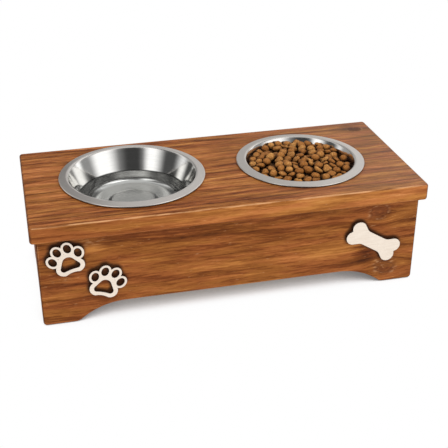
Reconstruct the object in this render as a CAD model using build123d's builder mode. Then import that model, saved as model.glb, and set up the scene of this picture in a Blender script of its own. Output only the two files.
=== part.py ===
from build123d import *

import os
from math import acos, cos, degrees, pi, radians, sin, sqrt, tan

# A raised dog feeder. Four softwood panels make a storage box that stands on its corners,
# a lift-off top closes it, and two pressed steel bowls hang in the top by their rims.
# Frame: origin on the ground at the middle of the footprint, +X right along the length,
# +Y to the back, +Z up. Sizes are in millimetres and angles in degrees.

# ---------------------------------------------------------------- driving dimensions

# wood
top_thickness = 20.0
panel_thickness = 20.0
panel_height = 108.0
front_overhang = 9.0
back_overhang = 6.0
end_overhang = 6.0
top_edge_radius = 3.0
top_corner_radius = 4.0
panel_edge_radius = 2.5
foot_corner_radius = 4.0

# arches in the lower edges of the panels
arch_height = 20.0
foot_toe_radius = 10.0
long_foot = 40.0
long_shoulder_radius = 80.0
short_foot = 14.0
short_shoulder_radius = 40.0

# pressed steel bowls
sheet = 1.0
bead_height = 2.6
bead_width = 2.6
bead_radius = 1.1
wall_angle = 19.0
lip_bend = 3.0
water_rim_radius = 85.4
water_rim_width = 11.4
water_depth = 46.0
water_base_bend = 14.0
water_disc_radius = 28.0
food_rim_radius = 77.3
food_rim_width = 13.3
food_depth = 40.0
food_base_bend = 12.0
food_disc_radius = 23.0
disc_rise = 1.5
disc_slope = 2.0

# what the bowls hold
water_below_rim = 26.0
food_edge_below_rim = 11.0
food_crown_below_rim = 5.5
contents_clearance = 0.3
food_piece_spacing = 10.9
food_piece_radii = (5.6, 5.1, 5.4)
food_piece_sinks = (0.0, 3.6, 2.0, 4.2)
food_piece_stands = 1.6
golden_turn = 137.508

# places of the bowls
hole_clearance = 3.0
hole_edge_radius = 1.0
bowl_front_room = 8.45
bowl_back_room = 2.0
food_front_room = 12.0
left_room = 7.5
right_room = 14.0
between_holes = 58.5

# storage floor and corner blocks
floor_thickness = 6.0
floor_clearance = 0.5
cleat_size = 12.0
cleat_above_arch = 2.0
block_size = 18.0

# battens that locate the top
batten_width = 14.0
batten_height = 12.0
batten_clearance = 1.0
block_below_batten = 2.0

# pan-head wood screws
shank_radius = 1.75
head_radius = 3.4
head_height = 2.2
screw_grip = 12.0
tip_length = 3.0
pilot_clearance = 0.05
pilot_end_clearance = 0.5
slot_width = 0.9
slot_depth = 1.2
cleat_screw_inset = 40.0
batten_screw_inset = 25.0

# plaques
plaque_thickness = 3.0
paw_tilt_left = 18.7
paw_tilt_right = -20.6
left_paw_from_end = 33.0
left_paw_below_top = 32.0
right_paw_from_end = 70.3
right_paw_below_top = 65.8
toe_half_length = 5.45
toe_half_width = 4.2
toe_ring = 2.5
inner_toe_out = 5.9
inner_toe_up = 19.0
outer_toe_out = 14.6
outer_toe_up = 10.1
toe_splay_inner = 4.7
toe_splay_outer = 12.9
toe_skew = 6.0
pad_offset = 0.75
pad_turn = -2.4
pad_ring = 4.8
dome_radius = 6.9
dome_up = 2.7
lobe_radius = 3.7
lobe_out = 7.4
lobe_down = 3.3
pad_hole_notch = 0.6
pad_outer_notch = 1.4
bone_tilt = -31.8
bone_from_end = 53.7
bone_below_top = 49.9
knuckle_radius = 8.3
knuckle_along = 25.5
knuckle_across = 6.7
bone_half_width = 8.8
bone_neck = 13.5
bone_neck_fillet = 9.5
knuckle_slope = 35.0
crotch_fillet = 1.2

# ---------------------------------------------------------------- derived sizes

wall_taper = tan(radians(wall_angle))
underside_depth = bead_height + top_thickness
water_lip_radius = water_rim_radius - water_rim_width
food_lip_radius = food_rim_radius - food_rim_width
wall_across = sheet / cos(radians(wall_angle))
water_body_radius = water_lip_radius - underside_depth * wall_taper + wall_across
food_body_radius = food_lip_radius - underside_depth * wall_taper + wall_across
water_hole_radius = water_lip_radius + hole_clearance
food_hole_radius = food_lip_radius + hole_clearance

inner_depth = max(
    bowl_front_room + 2 * water_body_radius + bowl_back_room,
    food_front_room + 2 * food_body_radius + bowl_back_room,
)
box_depth = inner_depth + 2 * panel_thickness
top_depth = box_depth + front_overhang + back_overhang
end_to_batten = end_overhang + panel_thickness + batten_clearance
holes_length = 2 * water_hole_radius + between_holes + 2 * food_hole_radius
battens_length = 2 * (end_to_batten + batten_width)
top_length = battens_length + left_room + holes_length + right_room
box_length = top_length - 2 * end_overhang
inner_length = box_length - 2 * panel_thickness
top_height = panel_height + top_thickness
rim_height = top_height + bead_height

front_face = -top_depth / 2 + front_overhang
back_face = top_depth / 2 - back_overhang
inner_front = front_face + panel_thickness
inner_back = back_face - panel_thickness
inner_middle = (inner_front + inner_back) / 2

water_x = -top_length / 2 + battens_length / 2 + left_room + water_hole_radius
water_y = inner_front + bowl_front_room + water_body_radius
food_x = top_length / 2 - battens_length / 2 - right_room - food_hole_radius
food_y = inner_front + food_front_room + food_body_radius

cleat_bottom = arch_height + cleat_above_arch
floor_bottom = cleat_bottom + cleat_size
floor_top = floor_bottom + floor_thickness
block_top = panel_height - batten_height - block_below_batten
block_height = block_top - floor_top
block_screw_pitch = block_height / 5

food_piece_radius = max(food_piece_radii)
food_piece_room = (food_piece_radius + contents_clearance) / cos(radians(wall_angle))
food_edge_depth = food_edge_below_rim + max(food_piece_sinks) + food_piece_radius
heap_radius = food_lip_radius - food_edge_depth * wall_taper - food_piece_room
food_pieces = round(2 * pi / sqrt(3) * (heap_radius / food_piece_spacing) ** 2)

# ---------------------------------------------------------------- helpers

hair = 0.001

front_plane = Plane(origin=(0, front_face, 0), x_dir=(1, 0, 0), z_dir=(0, -1, 0))
back_plane = Plane(origin=(0, back_face, 0), x_dir=(-1, 0, 0), z_dir=(0, 1, 0))
left_plane = Plane(origin=(-box_length / 2, inner_middle, 0), x_dir=(0, -1, 0), z_dir=(-1, 0, 0))
right_plane = Plane(origin=(box_length / 2, inner_middle, 0), x_dir=(0, 1, 0), z_dir=(1, 0, 0))


def arched_face(length, foot, shoulder_radius):
    """Side of the box: a rectangle whose lower edge is cut away between two feet."""
    drop = degrees(acos((shoulder_radius - arch_height) / shoulder_radius))
    half_flat = length / 2 - foot - shoulder_radius * sin(radians(drop))
    with BuildSketch() as side:
        with Locations((0, panel_height / 2)):
            Rectangle(length, panel_height)
        with BuildLine():
            flat = Line((-half_flat, arch_height), (half_flat, arch_height))
            right_shoulder = JernArc(flat @ 1, (1, 0), shoulder_radius, -drop)
            left_shoulder = JernArc(flat @ 0, (-1, 0), shoulder_radius, drop)
            Line(left_shoulder @ 1, right_shoulder @ 1)
        make_face(mode=Mode.SUBTRACT)
        toes = side.vertices().group_by(Axis.Y)[0].sort_by(Axis.X)[1:-1]
        fillet(toes, foot_toe_radius)
    return side.sketch


def bowl_plane(x, y):
    """Upright plane through a bowl's axis, with its own Y along the part's Z."""
    return Plane(origin=(x, y, 0), x_dir=(1, 0, 0), z_dir=(0, -1, 0))


def bowl_corners(lip_radius, rim_radius, depth, disc_radius):
    """Corners of a bowl's inner surface, from its axis out to the rim."""
    base = rim_height - depth
    return [
        (0, base + disc_rise),
        (disc_radius, base + disc_rise),
        (disc_radius + disc_slope, base),
        (lip_radius - depth * wall_taper, base),
        (lip_radius, rim_height),
        (rim_radius - bead_width / 2, rim_height),
    ]


def bowl_section(lip_radius, rim_radius, depth, disc_radius, base_bend):
    """Half section of a pressed bowl: even sheet with a rolled bead round the rim."""
    corners = bowl_corners(lip_radius, rim_radius, depth, disc_radius)
    bends = [disc_slope / 2, disc_slope / 2, base_bend, lip_bend]
    with BuildSketch() as section:
        with BuildLine():
            FilletPolyline(*corners, radius=bends)
            offset(amount=sheet, side=Side.RIGHT)
        make_face()
    with BuildSketch() as bead:
        with Locations((rim_radius - bead_width / 2, rim_height - bead_height / 2)):
            Rectangle(bead_width, bead_height)
        fillet(bead.vertices(), bead_radius)
    return section.sketch + bead.sketch


def contents_section(lip_radius, rim_radius, depth, disc_radius, base_bend):
    """Half section of everything below the rim, kept clear of the steel."""
    corners = bowl_corners(lip_radius, rim_radius, depth, disc_radius)
    bends = [disc_slope / 2, disc_slope / 2, base_bend]
    with BuildSketch() as inside:
        with BuildLine():
            wall = FilletPolyline(*corners[:-1], radius=bends)
            Polyline(wall @ 1, (0, rim_height), wall @ 0)
        make_face()
        mirror(about=Plane.YZ)
        offset(amount=-contents_clearance)
        with Locations((rim_radius / 2, rim_height - depth / 2)):
            Rectangle(rim_radius, depth, mode=Mode.INTERSECT)
    return inside.sketch


def wood_screw(length):
    """Pan-head screw with its seat at the origin and its head towards +Z."""
    with BuildPart() as screw:
        with BuildSketch(Plane.XZ):
            with BuildLine():
                Polyline(
                    (0, head_height),
                    (0, -length),
                    (shank_radius, -length + tip_length),
                    (shank_radius, 0),
                    (head_radius, 0),
                    (head_radius, head_height / 2),
                )
                EllipticalCenterArc((0, head_height / 2), head_radius, head_height / 2, arc_size=90)
            make_face()
        revolve(axis=Axis.Z)
        with BuildSketch(Plane.XY.offset(head_height)):
            Rectangle(head_radius, slot_width)
            Rectangle(slot_width, head_radius)
        extrude(amount=-slot_depth, mode=Mode.SUBTRACT)
    return screw.part


def drill(places, length):
    """Pilot holes for screws of a length that are seated at the places."""
    with Locations(*places):
        Hole(shank_radius + pilot_clearance, depth=length + pilot_end_clearance)


def paw_face(tilt, flip):
    """Paw outline with four toe holes and a pad hole, about the paw's own middle."""
    toes = [
        Location((-outer_toe_out, outer_toe_up, 0), (0, 0, toe_skew + toe_splay_outer)),
        Location((-inner_toe_out, inner_toe_up, 0), (0, 0, toe_skew + toe_splay_inner)),
        Location((inner_toe_out, inner_toe_up, 0), (0, 0, toe_skew - toe_splay_inner)),
        Location((outer_toe_out, outer_toe_up, 0), (0, 0, toe_skew - toe_splay_outer)),
    ]
    pad = Location((pad_offset, 0, 0), (0, 0, pad_turn))
    with BuildSketch() as paw:
        with Locations(*toes):
            Ellipse(toe_half_width + toe_ring, toe_half_length + toe_ring)
        with Locations(pad):
            add(pad_face(pad_ring, pad_outer_notch))
        with Locations(*toes):
            Ellipse(toe_half_width, toe_half_length, mode=Mode.SUBTRACT)
        with Locations(pad):
            add(pad_face(0, pad_hole_notch), mode=Mode.SUBTRACT)
    outline = paw.sketch.mirror(Plane.YZ) if flip else paw.sketch
    return outline.rotate(Axis.Z, tilt)


def pad_face(grow, notch):
    """Heel pad of a paw: a dome over two lobes, with a shallow notch between them."""
    with BuildSketch() as pad:
        with Locations((0, dome_up)):
            dome = Circle(dome_radius + grow)
        with Locations((-lobe_out, -lobe_down), (lobe_out, -lobe_down)):
            lobes = Circle(lobe_radius + grow)
        make_hull(dome.edges() + lobes.edges())
        bottom = -lobe_down - lobe_radius - grow
        notch_radius = (lobe_out**2 + notch**2) / (2 * notch)
        with Locations((0, bottom + notch - notch_radius)):
            Circle(notch_radius, mode=Mode.SUBTRACT)
    return pad.sketch


def bone_face():
    """Bone outline: a straight shank that flares into two round knuckles at each end."""
    flare_x = knuckle_along - knuckle_radius * sin(radians(knuckle_slope))
    flare_y = knuckle_across + knuckle_radius * cos(radians(knuckle_slope))
    upper = [(-flare_x, flare_y), (-bone_neck, bone_half_width)]
    upper += [(bone_neck, bone_half_width), (flare_x, flare_y)]
    ends = [(knuckle_along, knuckle_across), (knuckle_along, -knuckle_across)]
    lower = [(x, -y) for x, y in reversed(upper)]
    with BuildSketch() as bone:
        with BuildLine():
            Polyline(*upper, *ends, *lower, *[(-x, y) for x, y in reversed(ends)], close=True)
        make_face()
        necks = bone.vertices().filter_by(lambda v: abs(abs(v.X) - bone_neck) < hair)
        fillet(necks, bone_neck_fillet)
        with GridLocations(2 * knuckle_along, 2 * knuckle_across, 2, 2):
            Circle(knuckle_radius)
        crotches = bone.vertices().filter_by(lambda v: abs(v.Y) < hair)
        fillet(crotches, crotch_fillet)
    return bone.sketch.rotate(Axis.Z, bone_tilt)


# ---------------------------------------------------------------- screw places

corners = [(-1, -1), (1, -1), (-1, 1), (1, 1)]
block_x = inner_length / 2 - block_size / 2
block_y = inner_depth / 2 - block_size / 2
corner_places = []
for side, end in corners:
    seat_x = side * (block_x - block_size / 2)
    seat_y = inner_middle + end * (block_y - block_size / 2)
    for way, edge in [(1, floor_top), (-1, block_top)]:
        outer = edge + way * block_screw_pitch
        inner = outer + way * block_screw_pitch
        into_panel = Plane(origin=(side * block_x, seat_y, outer), z_dir=(0, -end, 0))
        into_end = Plane(origin=(seat_x, inner_middle + end * block_y, inner), z_dir=(-side, 0, 0))
        corner_places += [into_panel, into_end]

cleat_middle = cleat_bottom + cleat_size / 2
cleat_reach = inner_length / 2 - cleat_screw_inset
cleat_seat = inner_depth / 2 - cleat_size
cleat_places = [
    Plane(origin=(x, inner_middle + end * cleat_seat, cleat_middle), z_dir=(0, -end, 0))
    for end in (-1, 1)
    for x in (-cleat_reach, 0, cleat_reach)
]

batten_x = inner_length / 2 - batten_clearance - batten_width / 2
batten_length = inner_depth - 2 * batten_clearance
batten_reach = batten_length / 2 - batten_screw_inset
batten_places = [
    Plane(origin=(side * batten_x, inner_middle + y, panel_height - batten_height), z_dir=(0, 0, -1))
    for side in (-1, 1)
    for y in (-batten_reach, 0, batten_reach)
]

corner_screw_length = block_size + screw_grip
cleat_screw_length = cleat_size + screw_grip
batten_screw_length = batten_height + screw_grip

# ---------------------------------------------------------------- box

long_face = arched_face(box_length, long_foot, long_shoulder_radius)
short_face = arched_face(inner_depth, short_foot, short_shoulder_radius)


def long_panel(plane):
    """Front or back panel, with its outer upright edges and its heels eased."""
    outwards = Axis(plane.origin, plane.z_dir)
    with BuildPart() as panel:
        with BuildSketch(plane):
            add(long_face)
            heels = vertices().group_by(Axis.Y)[0].sort_by(Axis.X)
            fillet([heels[0], heels[-1]], foot_corner_radius)
        extrude(amount=-panel_thickness)
        fillet(panel.edges().filter_by(Axis.Z).group_by(outwards)[-1], panel_edge_radius)
        drill(corner_places, corner_screw_length)
        drill(cleat_places, cleat_screw_length)
    return panel


def short_panel(plane):
    """End panel, set between the long panels."""
    with BuildPart() as panel:
        with BuildSketch(plane):
            add(short_face)
        extrude(amount=-panel_thickness)
        drill(corner_places, corner_screw_length)
    return panel


def cleat(end):
    """Strip under one long edge of the storage floor, screwed to the panel behind it."""
    with BuildPart() as strip:
        with Locations((0, inner_middle + end * (cleat_seat + cleat_size / 2), cleat_middle)):
            Box(inner_length - 2 * floor_clearance, cleat_size, cleat_size)
        drill(cleat_places, cleat_screw_length)
    return strip


def corner_block(side, end):
    """Upright block that ties a long panel to an end panel and holds the floor down."""
    with BuildPart() as block:
        with BuildSketch(Plane.XY.offset(floor_top)):
            with Locations((side * block_x, inner_middle + end * block_y)):
                Rectangle(block_size, block_size)
        extrude(amount=block_height)
        drill(corner_places, corner_screw_length)
    return block


def screws(places, length):
    """Identical screws driven at the places."""
    screw = wood_screw(length)
    with BuildPart() as group:
        with Locations(*places):
            add(screw)
    return group


front_panel = long_panel(front_plane)
back_panel = long_panel(back_plane)
left_end_panel = short_panel(left_plane)
right_end_panel = short_panel(right_plane)
front_cleat = cleat(-1)
back_cleat = cleat(1)
front_left_block, front_right_block, back_left_block, back_right_block = [
    corner_block(side, end) for side, end in corners
]

with BuildPart() as floor_board:
    with BuildSketch(Plane.XY.offset(floor_bottom)):
        with Locations((0, inner_middle)):
            Rectangle(inner_length - 2 * floor_clearance, inner_depth - 2 * floor_clearance)
    extrude(amount=floor_thickness)

corner_screws = screws(corner_places, corner_screw_length)
cleat_screws = screws(cleat_places, cleat_screw_length)

# ---------------------------------------------------------------- plaques on the front


def plaque(face, x, z):
    """Thin plaque cut to a face and glued flat on the front panel."""
    with BuildPart() as cutout:
        with BuildSketch(Plane(origin=(x, front_face, z), x_dir=(1, 0, 0), z_dir=(0, -1, 0))):
            add(face)
        extrude(amount=plaque_thickness)
    return cutout


left_paw_plaque = plaque(
    paw_face(paw_tilt_left, flip=False),
    -box_length / 2 + left_paw_from_end,
    panel_height - left_paw_below_top,
)
right_paw_plaque = plaque(
    paw_face(paw_tilt_right, flip=True),
    -box_length / 2 + right_paw_from_end,
    panel_height - right_paw_below_top,
)
bone_plaque = plaque(
    bone_face(), box_length / 2 - bone_from_end, panel_height - bone_below_top
)

# ---------------------------------------------------------------- lift-off top

with BuildPart() as top_board:
    with BuildSketch(Plane.XY.offset(panel_height)):
        Rectangle(top_length, top_depth)
        fillet(vertices(), top_corner_radius)
    extrude(amount=top_thickness)
    fillet(faces().sort_by(Axis.Z)[0].edges() + faces().sort_by(Axis.Z)[-1].edges(), top_edge_radius)
    with Locations((water_x, water_y, top_height)):
        Hole(water_hole_radius)
    with Locations((food_x, food_y, top_height)):
        Hole(food_hole_radius)
    rounds = edges().filter_by(GeomType.CIRCLE)
    fillet(rounds.filter_by(lambda edge: edge.radius > top_corner_radius), hole_edge_radius)
    drill(batten_places, batten_screw_length)


def batten(side):
    """Strip under the top that drops just inside an end panel."""
    with BuildPart() as strip:
        with BuildSketch(Plane.XY.offset(panel_height - batten_height)):
            with Locations((side * batten_x, inner_middle)):
                Rectangle(batten_width, batten_length)
        extrude(amount=batten_height)
        drill(batten_places, batten_screw_length)
    return strip


left_batten = batten(-1)
right_batten = batten(1)
batten_screws = screws(batten_places, batten_screw_length)

# ---------------------------------------------------------------- bowls and contents


def turned(section, x, y):
    """A half section swung right round a bowl's axis."""
    with BuildPart() as piece:
        with BuildSketch(bowl_plane(x, y)):
            add(section)
        revolve(axis=Axis((x, y, 0), (0, 0, 1)))
    return piece


def below_level(section, level):
    """The part of a contents section that lies under a flat surface."""
    with BuildSketch() as filled:
        add(section)
        with Locations((0, level)):
            Rectangle(top_depth, panel_height, align=(Align.CENTER, Align.MAX), mode=Mode.INTERSECT)
    return filled.sketch


def below_heap(section, crown, edge, edge_radius):
    """The part of a contents section that lies under a low dome."""
    rise = crown - edge
    dome = (edge_radius**2 + rise**2) / (2 * rise)
    with BuildSketch() as filled:
        add(section)
        with Locations((0, crown - dome)):
            Circle(dome, mode=Mode.INTERSECT)
    return filled.sketch


water_sizes = (water_lip_radius, water_rim_radius, water_depth, water_disc_radius, water_base_bend)
food_sizes = (food_lip_radius, food_rim_radius, food_depth, food_disc_radius, food_base_bend)

water_bowl = turned(bowl_section(*water_sizes), water_x, water_y)
food_bowl = turned(bowl_section(*food_sizes), food_x, food_y)
water = turned(
    below_level(contents_section(*water_sizes), rim_height - water_below_rim), water_x, water_y
)

# As many pieces of dry food as lie side by side in the heap's circle are spread evenly over it,
# each a golden turn on from the one before.
core_drop = food_piece_stands * food_piece_radius
food_core = below_heap(
    contents_section(*food_sizes),
    rim_height - food_crown_below_rim - core_drop,
    rim_height - food_edge_below_rim - core_drop,
    heap_radius,
)
dry_food = turned(food_core, food_x, food_y)
with dry_food:
    for first, radius in enumerate(food_piece_radii):
        middles = []
        for number in range(first, food_pieces, len(food_piece_radii)):
            share = (number + 0.5) / food_pieces
            out = heap_radius * sqrt(share)
            turn = radians(number * golden_turn)
            top_below_rim = food_crown_below_rim * (1 - share) + food_edge_below_rim * share
            down = top_below_rim + food_piece_sinks[number % len(food_piece_sinks)] + radius
            middles.append((food_x + out * cos(turn), food_y + out * sin(turn), rim_height - down))
        with Locations(*middles):
            Sphere(radius)

# ---------------------------------------------------------------- files

pieces = {
    "front_panel": front_panel,
    "back_panel": back_panel,
    "left_end_panel": left_end_panel,
    "right_end_panel": right_end_panel,
    "front_cleat": front_cleat,
    "back_cleat": back_cleat,
    "front_left_block": front_left_block,
    "front_right_block": front_right_block,
    "back_left_block": back_left_block,
    "back_right_block": back_right_block,
    "floor_board": floor_board,
    "corner_screws": corner_screws,
    "cleat_screws": cleat_screws,
    "left_paw_plaque": left_paw_plaque,
    "right_paw_plaque": right_paw_plaque,
    "bone_plaque": bone_plaque,
    "top_board": top_board,
    "left_batten": left_batten,
    "right_batten": right_batten,
    "batten_screws": batten_screws,
    "water_bowl": water_bowl,
    "food_bowl": food_bowl,
    "water": water,
    "dry_food": dry_food,
}

os.makedirs("parts", exist_ok=True)
for name, piece in pieces.items():
    piece.part.label = name
    export_step(piece.part, f"parts/{name}.step")
    box = piece.part.bounding_box()
    print(f"{name}: {box.size.X:.1f} x {box.size.Y:.1f} x {box.size.Z:.1f} mm")
print(f"whole: {top_length:.1f} x {top_depth:.1f} x {rim_height:.1f} mm")
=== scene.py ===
# %% [markdown]
# # A raised dog feeder, dressed and lit
#
# The construction comes packed: boards, screws and bowls, each at its real size, each on a body
# that moves. This notebook never moves or resizes those pieces. It gives each one its finish, and
# it models again the few pieces whose looks depend on a finer surface: the front board with the
# shade painted round its plaques, the polished bowls, the water and the heap of dry food. Lengths
# are in metres, as everywhere in Blender; where millimetres are easier to read, a value is written
# as `12 * mm`.

from collections import namedtuple
from math import cos, pi, radians, sin, tan

import bmesh
import bpy
import numpy as np
from mathutils import Matrix, Vector


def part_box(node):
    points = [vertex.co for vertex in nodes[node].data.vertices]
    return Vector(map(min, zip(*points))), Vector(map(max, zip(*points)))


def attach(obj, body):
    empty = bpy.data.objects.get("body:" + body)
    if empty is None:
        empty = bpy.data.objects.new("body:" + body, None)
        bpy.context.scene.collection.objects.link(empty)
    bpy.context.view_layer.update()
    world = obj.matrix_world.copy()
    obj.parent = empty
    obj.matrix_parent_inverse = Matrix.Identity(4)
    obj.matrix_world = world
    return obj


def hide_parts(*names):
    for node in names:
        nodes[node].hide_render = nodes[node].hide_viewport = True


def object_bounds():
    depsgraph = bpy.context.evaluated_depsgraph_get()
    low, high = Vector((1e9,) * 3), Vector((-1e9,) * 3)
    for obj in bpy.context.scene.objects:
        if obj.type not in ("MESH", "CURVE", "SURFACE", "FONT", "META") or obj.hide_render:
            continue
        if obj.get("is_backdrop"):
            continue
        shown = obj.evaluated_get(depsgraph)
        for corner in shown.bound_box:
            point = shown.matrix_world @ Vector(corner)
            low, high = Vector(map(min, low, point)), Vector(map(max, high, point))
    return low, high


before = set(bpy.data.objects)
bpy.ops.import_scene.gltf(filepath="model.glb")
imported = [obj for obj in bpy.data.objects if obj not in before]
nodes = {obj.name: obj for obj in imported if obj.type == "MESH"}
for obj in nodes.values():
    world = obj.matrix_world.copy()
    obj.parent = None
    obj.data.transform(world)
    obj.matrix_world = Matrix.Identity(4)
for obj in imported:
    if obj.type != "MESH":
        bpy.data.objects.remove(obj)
cad_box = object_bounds()
mm = 0.001
print("whole size in mm:", [round(side / mm, 1) for side in cad_box[1] - cad_box[0]])

# %% [markdown]
# ## Writing node trees in code
#
# Materials, lights and Geometry Nodes are all node trees. They could be drawn by hand in an
# editor and saved in a file; written in code they can be read, changed and run again. This small
# helper keeps one line for each node: every call adds a node and gives back its output socket,
# which the next call takes as an input.

# %% A writer for node trees
class Tree:
    """Writes a node tree: each call adds one node and gives back its output socket."""

    def __init__(self, tree):
        self.tree = tree

    def join(self, value, socket):
        if isinstance(value, bpy.types.NodeSocket):
            self.tree.links.new(value, socket)
        else:
            socket.default_value = value

    def add(self, kind, inputs=None, output=0, **settings):
        node = self.tree.nodes.new(kind)
        for name, value in settings.items():
            setattr(node, name, value)
        for socket, value in (inputs or {}).items():
            self.join(value, node.inputs[socket])
        return node.outputs[output] if node.outputs else node

    def math(self, operation, *values, clamp=False):
        inputs = dict(enumerate(values))
        return self.add("ShaderNodeMath", inputs, operation=operation, use_clamp=clamp)

    def vector(self, operation, *values, output=0):
        inputs = dict(enumerate(values))
        return self.add("ShaderNodeVectorMath", inputs, output, operation=operation)

    def scaled(self, vector, factor):
        return self.vector("MULTIPLY", vector, factor)

    def length(self, vector):
        return self.vector("LENGTH", vector, output="Value")

    def parts(self, vector):
        return self.add("ShaderNodeSeparateXYZ", {0: vector}).node.outputs[:3]

    def joined(self, x, y, z):
        return self.add("ShaderNodeCombineXYZ", {0: x, 1: y, 2: z})

    def noise(self, vector, scale, detail=2, roughness=0.5):
        """A cloudy pattern, 0.5 on average; scale is its waves over one unit of each axis."""
        inputs = {"Vector": self.scaled(vector, scale), "Scale": 1.0}
        inputs.update({"Detail": detail, "Roughness": roughness})
        return self.add("ShaderNodeTexNoise", inputs)

    def times(self, first, second, clamp=False):
        return self.math("MULTIPLY", first, second, clamp=clamp)

    def most(self, first, second):
        return self.math("MAXIMUM", first, second)

    def less(self, whole, share):
        return self.math("SUBTRACT", whole, share)

    def plus(self, base, value, factor):
        """The base with a value times a factor added to it."""
        return self.math("MULTIPLY_ADD", value, factor, base)

    def sway(self, base, noise, amount):
        """The base moved up and down by a noise that is 0.5 on average."""
        return self.plus(base, self.less(noise, 0.5), amount)

    def bell(self, distance):
        """1 at no distance and close to 0 past a distance of 2."""
        return self.math("EXPONENT", self.times(self.times(distance, distance), -1))

    def ease(self, value, low, high):
        """0 below low, 1 above high and a smooth step between them."""
        inputs = {"Value": value, "From Min": low, "From Max": high}
        return self.add("ShaderNodeMapRange", inputs, interpolation_type="SMOOTHSTEP")

    def between(self, value, low, high):
        """Moves a 0 to 1 value into the range low to high."""
        return self.add("ShaderNodeMapRange", {"Value": value, "To Min": low, "To Max": high})

    def mix(self, factor, first, second):
        return self.add("ShaderNodeMix", {0: factor, 6: first, 7: second}, 2, data_type="RGBA")

    def ramp(self, value, stops):
        """A colour for each value, eased from stop to stop; a stop is a place and a colour."""
        made = self.add("ShaderNodeValToRGB", {"Fac": value})
        elements = made.node.color_ramp.elements
        made.node.color_ramp.interpolation = "EASE"
        while len(elements) < len(stops):
            elements.new(0.5)
        for element, (position, colour) in zip(elements, stops):
            element.position, element.color = position, colour
        return made


print("tree writer with", sum(callable(entry) for entry in vars(Tree).values()), "methods")

# %% [markdown]
# ## Pieces made by a rule
#
# Some pieces are modelled again with Geometry Nodes: a tree of nodes is the rule, and named
# inputs are its sizes. The tree runs once, as a modifier on a small starting mesh, and its result
# is kept as a plain mesh, because a plain mesh is what other programs can read. A finished piece
# keeps its object at the origin and rides on a body of the fixed frame.

# %% Running Geometry Nodes
def in_scene(name, data):
    """A new object with the given data, linked to the scene."""
    made = bpy.data.objects.new(name, data)
    bpy.context.scene.collection.objects.link(made)
    return made


def new_geometry(name, inputs):
    """A Geometry Nodes tree with a mesh input, the named inputs and a mesh output."""
    tree = bpy.data.node_groups.new(name, "GeometryNodeTree")
    tree.interface.new_socket("Mesh", in_out="INPUT", socket_type="NodeSocketGeometry")
    for label, kind in inputs.items():
        tree.interface.new_socket(label, in_out="INPUT", socket_type="NodeSocket" + kind)
    tree.interface.new_socket("Mesh", in_out="OUTPUT", socket_type="NodeSocketGeometry")
    writer = Tree(tree)
    return writer, writer.add("NodeGroupInput").node.outputs, tree.nodes.new("NodeGroupOutput")


def end_geometry(writer, geometry, material, result):
    """Ends a tree: copies become real mesh, the material goes on, and the mesh goes out."""
    whole = writer.add("GeometryNodeRealizeInstances", {"Geometry": geometry})
    finished = writer.add("GeometryNodeSetMaterial", {"Geometry": whole, "Material": material})
    writer.join(finished, result.inputs["Mesh"])
    print(writer.tree.name, "is a rule of", len(writer.tree.nodes), "nodes")


def run_geometry(name, mesh, writer, body, values):
    """Runs a tree on a mesh, keeps the result as a plain mesh piece and lets it ride a body."""
    source = in_scene(name + "_source", mesh)
    modifier = source.modifiers.new("rule", "NODES")
    modifier.node_group = writer.tree
    for item in writer.tree.interface.items_tree:
        if item.in_out == "INPUT" and item.name in values:
            modifier[item.identifier] = values[item.name]
    made = source.evaluated_get(bpy.context.evaluated_depsgraph_get())
    result = bpy.data.meshes.new_from_object(made)
    bpy.data.objects.remove(source)
    result.name = name
    piece = in_scene(name, result)
    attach(piece, body)
    print(f"{name}: {len(result.polygons)} faces on the body {body}")
    return piece

# %% [markdown]
# ## Camera
#
# The camera stands a little to the left and looks down at the feeder. A long lens keeps the
# boards almost parallel. The small shift slides the picture in its frame without turning the
# camera, as a view camera does.

# %% Camera
camera_place = Vector((-0.2264, -0.9416, 0.5738))
camera_turn = radians(13.04)
camera_tilt = radians(27.17)
camera_roll = radians(-0.33)

lens = bpy.data.cameras.new("camera")
lens.sensor_width = 36.0
lens.lens = 72.44
lens.shift_x = 0.0319
lens.shift_y = -0.0380
camera = in_scene("camera", lens)
turned = Matrix.Rotation(-camera_turn, 4, "Z") @ Matrix.Rotation(pi / 2 - camera_tilt, 4, "X")
camera.matrix_world = (
    Matrix.Translation(camera_place) @ turned @ Matrix.Rotation(camera_roll, 4, "Z")
)
bpy.context.scene.camera = camera
bpy.context.scene.view_settings.view_transform = "Standard"
print("camera stands", round(camera_place.length, 3), "m from the feeder")

# %% [markdown]
# ## Studio
#
# A white sweep under a soft sky. The floor takes the shadow near the feeder and fades to plain
# white further out, so that no edge of it shows. White paper round a product is so bright that
# only the closest shade is left on it; the floor's openness to the air says where that is.

# %% Studio pieces and their materials
def new_material(name):
    """An empty material: its tree writer and its output node."""
    material = bpy.data.materials.new(name)
    material.use_nodes = True
    material.node_tree.nodes.clear()
    tree = Tree(material.node_tree)
    return material, tree, tree.add("ShaderNodeOutputMaterial")


def own_place(tree):
    """The place of a surface point in the object's own frame."""
    return tree.add("ShaderNodeTexCoord", output="Object")


def open_to_air(tree, reach):
    """1 where nothing stands within reach of a point, less where something shades it."""
    return tree.add("ShaderNodeAmbientOcclusion", {"Distance": reach}, "AO")


def stage_piece(name, corners, faces):
    """A piece of the studio, which isn't part of the feeder."""
    mesh = bpy.data.meshes.new(name)
    mesh.from_pydata(corners, [], faces)
    made = in_scene(name, mesh)
    made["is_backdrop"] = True
    return made

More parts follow.
